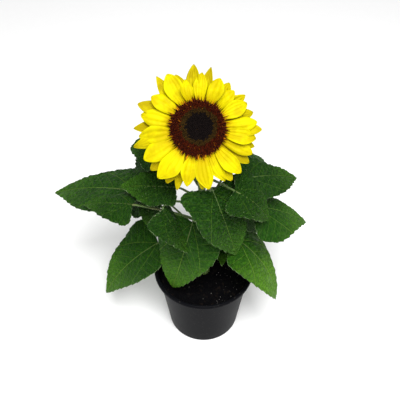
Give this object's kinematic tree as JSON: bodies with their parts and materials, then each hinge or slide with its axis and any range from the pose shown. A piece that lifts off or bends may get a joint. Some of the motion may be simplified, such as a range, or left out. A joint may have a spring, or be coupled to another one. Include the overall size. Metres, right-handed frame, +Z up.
{
  "type": "dwarf sunflower in a nursery pot",
  "caption": "Potted dwarf sunflower: a large yellow head tipped to the front over broad heart-shaped leaves, in a round black plastic nursery pot.",
  "frame": {"origin": "centre of the flat underside of the pot, on the surface it stands on", "axes": "+Z up the plant, -Y the front, the way the flower faces, +X to the right seen from the front"},
  "size_m": [0.3268, 0.2096, 0.3803],
  "materials": {
    "pot": "satin black moulded plastic",
    "compost": "moist dark compost",
    "stem": "hairy green stem",
    "leaf": "soft matt leaf",
    "young_leaf": "soft matt leaf",
    "ray_florets": "silky petal",
    "disc_florets": "bristly florets",
    "bracts": "hairy green bract"
  },
  "bodies": {
    "root": {"pot": "pot", "compost": "compost", "stem": "stem", "flower_neck": "stem", "flower_disc": "disc_florets", "ray_florets_front": "ray_florets", "ray_florets_back": "ray_florets", "bracts": "bracts", "leaf_left_far": "leaf", "petiole_left_far": "stem", "leaf_left_small": "young_leaf", "petiole_left_small": "stem", "leaf_left_inner": "young_leaf", "petiole_left_inner": "stem", "leaf_left_tucked": "young_leaf", "petiole_left_tucked": "stem", "leaf_left_high": "young_leaf", "petiole_left_high": "stem", "leaf_low_left": "leaf", "petiole_low_left": "stem", "leaf_front_left": "leaf", "petiole_front_left": "stem", "leaf_hanging": "young_leaf", "petiole_hanging": "stem", "leaf_front_right": "leaf", "petiole_front_right": "stem", "leaf_right_inner": "young_leaf", "petiole_right_inner": "stem", "leaf_right_high": "leaf", "petiole_right_high": "stem", "leaf_right_far": "leaf", "petiole_right_far": "stem", "leaf_right_shaded": "young_leaf", "petiole_right_shaded": "stem", "leaf_low_right": "leaf", "petiole_low_right": "stem", "leaf_shoot_front": "young_leaf", "petiole_shoot_front": "stem", "leaf_shoot_right": "young_leaf", "petiole_shoot_right": "stem", "leaf_rear_high": "leaf", "petiole_rear_high": "stem", "leaf_rear_left": "leaf", "petiole_rear_left": "stem", "leaf_rear_right": "leaf", "petiole_rear_right": "stem", "leaf_rear_low_left": "leaf", "petiole_rear_low_left": "stem", "leaf_rear_low_right": "leaf", "petiole_rear_low_right": "stem"}
  },
  "joints": []
}
